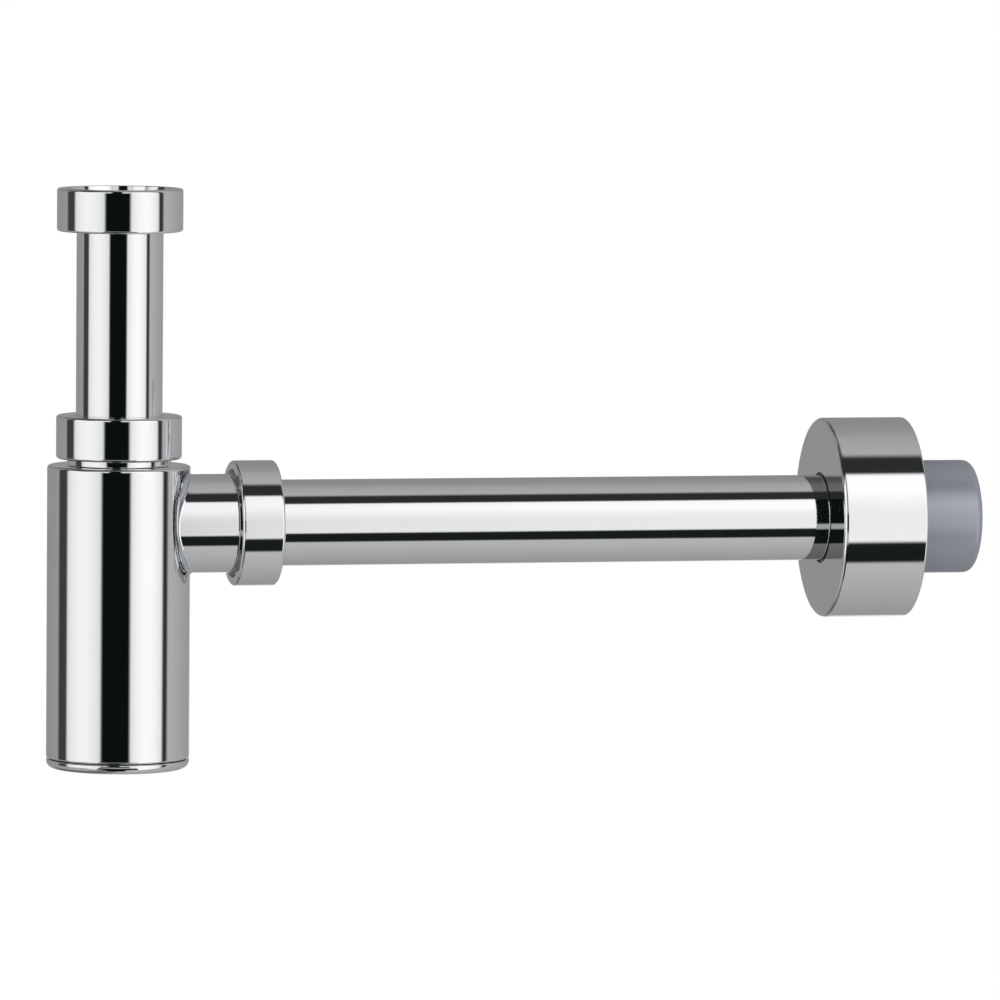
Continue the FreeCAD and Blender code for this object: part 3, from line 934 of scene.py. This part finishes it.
# The cloth's darker places, by how far a direction of length one goes right, up and back
HEM_ACROSS = (-0.5, -0.05)
HEM_UP = 0.5
HEM_BLUR = (0.1, 0.2)
BEHIND_UP = 0.1
BEHIND_BACK = 0.4
BEHIND_BLUR = (0.2, 0.3)

# How bright the tent's parts are, and a softbox at its edges and in its middle
CLOTH = 0.47
CLOTH_ACROSS = 0.02
CLOTH_AHEAD = 0.15
HEM_DARK = 0.6
BEHIND_DARK = 0.05
FRAME_GLOW = 0.004
FRAME_LEFT = 0.05
FRAME_TOP = 0.025
FRAME_BOTTOM = 0.008
FRAME_RIGHT = 0.03
LEFT_GLOW = (0.86, 1.13)
RIGHT_GLOW = (0.90, 1.22)
GLEAM = (0.99, 0.15)
GAP_GLOW = 0.006
SILL_GLOW = 0.5
HEAD_GLOW = 0.88
BACK_GLOW = 0.85


def soft_step(value, limit, blur):
    """Zero below a limit and one above it, with a smooth cubic edge as wide as the blur."""
    share = np.clip((value - limit) / blur + 0.5, 0, 1)
    return share ** 2 * (3 - 2 * share)


def soft_band(value, limits, blur):
    """One between two limits and zero outside them, with soft edges as wide as the blur."""
    low, high = limits
    return soft_step(value, low, blur) * (1 - soft_step(value, high, blur))


def hump(value, limits):
    """A parabola that is one midway between two limits and zero at both."""
    low, high = limits
    return 1 - ((2 * value - low - high) / (high - low)) ** 2


def laid_over(under, level, share):
    """A brightness, replaced by a level where the share is one."""
    return under + (level - under) * share


def tent_glow(azimuth, elevation, toward):
    """Brightness of the tent in each direction, with angles in degrees from the front, right and up.

    Pitch is the angle up from level in the plane across the pipes, so a straight level edge has one pitch.
    It is the angle whose tangent is the height over the distance ahead, which counts as no less than its
    reach share of the level distance. The cloth is a linear slope, lighter in front, with a dark hem left
    of the middle above and below, and darker high up behind. The frame's four dark sides replace it inside
    their bands, and so do the softboxes, each brightest midway and below its top, with a higher foot near
    the middle. The gap between them is dark, with a pale sill, and white overhead but for one dark bar.
    """
    across = toward[..., 0]
    ahead = -toward[..., 1]
    up = toward[..., 2]
    pitch = np.degrees(np.arctan2(up, np.maximum(ahead, EDGE_REACH * np.hypot(across, ahead))))
    hem = soft_band(across, HEM_ACROSS, HEM_BLUR[0]) * soft_step(np.abs(up), HEM_UP, HEM_BLUR[1])
    high_behind = soft_step(up, BEHIND_UP, BEHIND_BLUR[0]) * soft_step(-ahead, BEHIND_BACK, BEHIND_BLUR[1])
    slope = CLOTH + CLOTH_ACROSS * across + CLOTH_AHEAD * ahead
    cloth = slope * (1 - HEM_DARK * hem) - BEHIND_DARK * high_behind
    left_side = 1 - soft_step(azimuth, FRAME_INSIDE[0], LEFT_SIDE_BLUR)
    right_side = soft_step(azimuth, FRAME_INSIDE[1], EDGE_BLUR)
    upper_side = soft_step(pitch, FRAME_INSIDE_PITCH[1], EDGE_BLUR)
    lower_side = 1 - soft_step(pitch, FRAME_INSIDE_PITCH[0], EDGE_BLUR)
    dark = FRAME_GLOW + FRAME_LEFT * left_side + FRAME_TOP * upper_side
    dark = dark + FRAME_BOTTOM * lower_side + FRAME_RIGHT * right_side
    foot, head = FRAME_PITCH
    frame_height = soft_step(pitch, foot, LEVEL_BLUR) * (1 - soft_step(pitch, head, FRAME_HEAD_BLUR))
    glow = laid_over(cloth, dark, soft_band(azimuth, FRAME_AZIMUTH, FRAME_BLUR) * frame_height)
    gleam = GLEAM[0] + GLEAM[1] * np.exp(-((pitch - GLEAM_PITCH) / GLEAM_SPREAD) ** 2)
    foot, head = SOFTBOX_PITCH
    foot = foot + (MIDDLE_FOOT - foot) * soft_band(azimuth, MIDDLE_AZIMUTH, FOOT_BLUR)
    height_share = soft_step(pitch, foot, LEVEL_BLUR) * (1 - soft_step(pitch, head, LEVEL_BLUR))
    for limits, (edge, middle) in ((LEFT_SOFTBOX, LEFT_GLOW), (RIGHT_SOFTBOX, RIGHT_GLOW)):
        softbox = (edge + (middle - edge) * hump(azimuth, limits)) * gleam
        glow = laid_over(glow, softbox, soft_band(azimuth, limits, EDGE_BLUR) * height_share)
    gap = soft_band(azimuth, GAP, EDGE_BLUR)
    beside_bar = 1 - soft_band(azimuth, DARK_BAR, LEVEL_BLUR)
    glow = laid_over(glow, GAP_GLOW, gap * soft_band(pitch, DARK_PITCH, EDGE_BLUR))
    glow = laid_over(glow, SILL_GLOW, gap * soft_band(pitch, SILL_PITCH, EDGE_BLUR))
    glow = laid_over(glow, HEAD_GLOW, gap * beside_bar * soft_band(pitch, HEAD_PITCH, LEVEL_BLUR))
    behind = soft_band(azimuth, BACK_SOFTBOX, EDGE_BLUR) * soft_band(elevation, BACK_ELEVATION, BACK_BLUR)
    return laid_over(glow, BACK_GLOW, behind)


def studio_object(name, points, faces, material):
    """A piece of the studio with its material, put in the scene."""
    mesh = bpy.data.meshes.new(name)
    mesh.from_pydata(points, [], faces)
    mesh.materials.append(material)
    piece = bpy.data.objects.new(name, mesh)
    bpy.context.scene.collection.objects.link(piece)
    return piece


tent_azimuth = np.arange(-180, 180)[None, :]
tent_elevation = np.arange(-89, 90)[:, None]
turned = np.radians(tent_azimuth)
raised = np.radians(tent_elevation)
upward = np.sin(raised) + 0 * turned
toward = np.stack([np.cos(raised) * np.sin(turned), -np.cos(raised) * np.cos(turned), upward], 2)
glow = tent_glow(tent_azimuth, tent_elevation, toward)
tent_index = vertex_numbers(glow)
tent_points = np.concatenate([toward.reshape(-1, 3), [[0, 0, -1]], [[0, 0, 1]]]) * TENT_RADIUS
tent_faces = grid_faces(tent_index, closed_rows=False).tolist()
tent_faces += fan_faces(tent_index[0], glow.size, False).tolist()
tent_faces += fan_faces(tent_index[-1], glow.size + 1, True).tolist()
tent_material, start = new_material("studio_tent")
tent_light = start.make("ShaderNodeAttribute", {"attribute_name": "glow"}, {}, "Fac")
tent_colour = start.mix_colours(tent_light, COOL_BLACK, WHITE)
tent_shader = start.make("ShaderNodeEmission", {}, {"Color": tent_colour, "Strength": 1.0})
start.make("ShaderNodeOutputMaterial", {}, {"Surface": tent_shader})
tent = studio_object("studio_tent", tent_points + np.array(TENT_CENTRE), tent_faces, tent_material)
tent_glows = np.concatenate([glow.reshape(-1), [glow[0].mean(), glow[-1].mean()]]).astype(np.float32)
tent.data.attributes.new("glow", "FLOAT", "POINT").data.foreach_set("value", tent_glows)
tent.visible_camera = False
tent.visible_diffuse = False
tent.visible_transmission = False
tent.visible_shadow = False


def seen_directly(start):
    """One for rays from the camera, from mirrors and through glass, and zero for falling light."""
    kinds = ("Is Camera Ray", "Is Glossy Ray", "Is Transmission Ray")
    camera, glossy, transmitted = (start.make("ShaderNodeLightPath", {}, {}, kind) for kind in kinds)
    return camera + glossy + transmitted


floor_z = cap_under - FLOOR_DROP
floor_points = [(-FLOOR_HALF, -FLOOR_HALF, floor_z), (FLOOR_HALF, -FLOOR_HALF, floor_z),
                (FLOOR_HALF, FLOOR_HALF, floor_z), (-FLOOR_HALF, FLOOR_HALF, floor_z)]
floor_material, start = new_material("studio_floor")
white = start.make("ShaderNodeEmission", {}, {"Color": WHITE, "Strength": FLOOR_STRENGTH})
paper = start.make("ShaderNodeBsdfDiffuse", {}, {"Color": PAPER})
lit = start.make("ShaderNodeMixShader", {}, {0: seen_directly(start) * FLOOR_SHARE, 1: paper, 2: white})
start.make("ShaderNodeOutputMaterial", {}, {"Surface": lit})
floor = studio_object("studio_floor", floor_points, [(0, 1, 2, 3)], floor_material)
floor.visible_glossy = False

world = bpy.data.worlds.new("studio_world")
world.use_nodes = True
world.node_tree.nodes.clear()
start = Value(world.node_tree)
sky = start.make("ShaderNodeBackground", {}, {"Color": WHITE, "Strength": SKY_STRENGTH})
ground = start.make("ShaderNodeBackground", {}, {"Color": WHITE, "Strength": 1.0})
both = start.make("ShaderNodeMixShader", {}, {0: seen_directly(start), 1: sky, 2: ground})
start.make("ShaderNodeOutputWorld", {}, {"Surface": both})
bpy.context.scene.world = world

for name, place, size, power in LAMPS:
    lamp = bpy.data.lights.new(name, "AREA")
    lamp.energy = power
    lamp.size = size
    stand = bpy.data.objects.new(name, lamp)
    stand.visible_glossy = False
    aim = TENT_CENTRE - Vector(place)
    stand.matrix_world = Matrix.Translation(place) @ aim.to_track_quat("-Z", "Y").to_matrix().to_4x4()
    bpy.context.scene.collection.objects.link(stand)


# Camera: a long lens a little left of and above the trap, level but for a slight tilt.
# The place where the two pipes' axes cross fixes where it points.
CAMERA_AZIMUTH = math.radians(12.7)
CAMERA_ELEVATION = math.radians(4.5)
CAMERA_ROLL = math.radians(-0.48)
CAMERA_DISTANCE = 3.1727
SENSOR = 36.0
LENS = 309.6
FRAME_SIDE = 1000
CROSSING_PIXEL = (118.7, 524.3)

pixel = CAMERA_DISTANCE * SENSOR / LENS / FRAME_SIDE
turn_sine, turn_cosine = math.sin(CAMERA_AZIMUTH), math.cos(CAMERA_AZIMUTH)
lift_sine, lift_cosine = math.sin(CAMERA_ELEVATION), math.cos(CAMERA_ELEVATION)
back = Vector((-turn_sine * lift_cosine, -turn_cosine * lift_cosine, lift_sine))
right = Vector((turn_cosine, -turn_sine, 0))
up = Vector((turn_sine * lift_sine, turn_cosine * lift_sine, lift_cosine))
tilted_right = right * math.cos(CAMERA_ROLL) - up * math.sin(CAMERA_ROLL)
tilted_up = right * math.sin(CAMERA_ROLL) + up * math.cos(CAMERA_ROLL)
aside = (CROSSING_PIXEL[0] - FRAME_SIDE / 2) * pixel
above = (FRAME_SIDE / 2 - CROSSING_PIXEL[1]) * pixel
crossing = Vector((0, 0, outlet_z))
eye = crossing - aside * tilted_right - above * tilted_up + CAMERA_DISTANCE * back
camera_data = bpy.data.cameras.new("camera")
camera_data.sensor_width = SENSOR
camera_data.lens = LENS
camera = bpy.data.objects.new("camera", camera_data)
facing = Matrix((tilted_right, tilted_up, back)).transposed()
camera.matrix_world = Matrix.Translation(eye) @ facing.to_4x4()
bpy.context.scene.collection.objects.link(camera)
bpy.context.scene.camera = camera
bpy.context.scene.view_settings.view_transform = "Standard"
